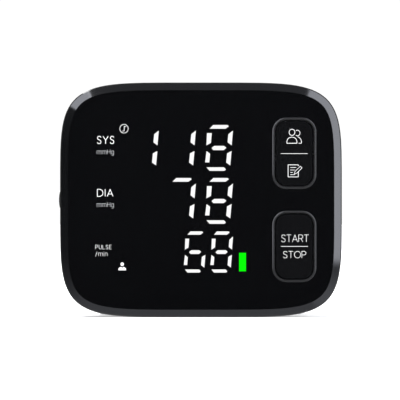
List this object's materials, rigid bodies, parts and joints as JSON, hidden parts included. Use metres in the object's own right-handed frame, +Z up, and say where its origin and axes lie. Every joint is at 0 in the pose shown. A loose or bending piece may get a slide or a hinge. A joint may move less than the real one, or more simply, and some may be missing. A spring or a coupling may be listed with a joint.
{
  "type": "wrist blood pressure monitor",
  "caption": "Upright wrist blood pressure monitor with a glossy face, segment display, two long keys and a pre-curved cuff closed behind it.",
  "frame": {"origin": "middle of the footprint of the whole part, on the surface that it stands on", "axes": "+X to the right across the face, +Y from the face to the cuff, +Z up"},
  "size_m": [0.0847, 0.0805, 0.07],
  "materials": {
    "face_gloss": "black acrylic face plate, polished",
    "case_black": "black housing, glossy chamfered rim",
    "case_rear": "black housing, fine satin texture",
    "key_ring": "dark grey bevelled ring",
    "key_cap": "black key, satin",
    "silicone": "translucent grey silicone",
    "board": "green solder mask on fibreglass",
    "display_black": "black reflector block",
    "display_white": "white light bars",
    "chip": "black moulded package",
    "sensor": "off-white moulding",
    "motor_steel": "plated steel can",
    "shaft_steel": "ground steel",
    "cell": "plain printed sleeve",
    "contact": "nickel-plated contact",
    "screw": "zinc-plated steel",
    "plate": "black polypropylene",
    "pad_fabric": "soft dark grey nylon over the air cushion",
    "cuff_fabric": "black woven nylon with loop face",
    "hook": "black hook patch"
  },
  "bodies": {
    "monitor": {"front_panel": "face_gloss", "front_case": "case_black", "rear_case": "case_rear", "memory_key_ring": "key_ring", "start_key_ring": "key_ring", "memory_key_mat": "silicone", "start_key_mat": "silicone", "circuit_board": "board", "display_housing": "display_black", "display_segments": "display_white", "processor_chip": "chip", "buzzer": "chip", "pressure_sensor": "sensor", "pump_motor": "motor_steel", "pump_head": "sensor", "valve_body": "motor_steel", "air_manifold": "sensor", "air_tubes": "silicone", "cuff_nipple": "sensor", "battery_cell_outer": "cell", "battery_cell_inner": "cell", "battery_springs": "contact", "battery_plates": "contact", "case_screws": "screw", "board_screws": "screw", "cuff_plate": "plate", "cuff_pad": "pad_fabric", "cuff_curler": "plate", "cuff_cover": "cuff_fabric", "flap_anchor": "cuff_fabric"},
    "start_key_body": {"start_key": "key_cap"},
    "memory_key_body": {"memory_key": "key_cap"},
    "battery_cover_body": {"battery_cover": "case_rear"},
    "pump_rotor": {"pump_shaft": "shaft_steel"},
    "valve_plunger_body": {"valve_plunger": "shaft_steel"},
    "flap": {"cuff_flap": "cuff_fabric", "hook_patch": "hook"}
  },
  "joints": [
    {"name": "start_key_press", "type": "slide", "parent": "monitor", "child": "start_key_body", "axis": [0, 1, 0], "range_m": [0, 0.0005], "stiffness_N_per_m": 1500, "deforming": ["start_key_mat"]},
    {"name": "memory_key_rock", "type": "hinge", "parent": "monitor", "child": "memory_key_body", "pos_m": [0.0278, -0.0364, 0.04888], "axis": [1, 0, 0], "range_deg": [-2, 2], "stiffness_Nm_per_rad": 0.06, "deforming": ["memory_key_mat"]},
    {"name": "battery_cover_pull", "type": "slide", "parent": "monitor", "child": "battery_cover_body", "axis": [-1, 0, 0], "range_m": [0, 0.015]},
    {"name": "pump_spin", "type": "hinge", "parent": "monitor", "child": "pump_rotor", "pos_m": [0.0041, -0.0221, 0.0115], "axis": [1, 0, 0], "continuous": true},
    {"name": "valve_stroke", "type": "slide", "parent": "monitor", "child": "valve_plunger_body", "axis": [0, 0, 1], "range_m": [0, 0.0008], "stiffness_N_per_m": 200},
    {"name": "flap_open", "type": "hinge", "parent": "monitor", "child": "flap", "pos_m": [0, -0.00427, 0.06051], "axis": [1, 0, 0], "range_deg": [0, 75]}
  ]
}
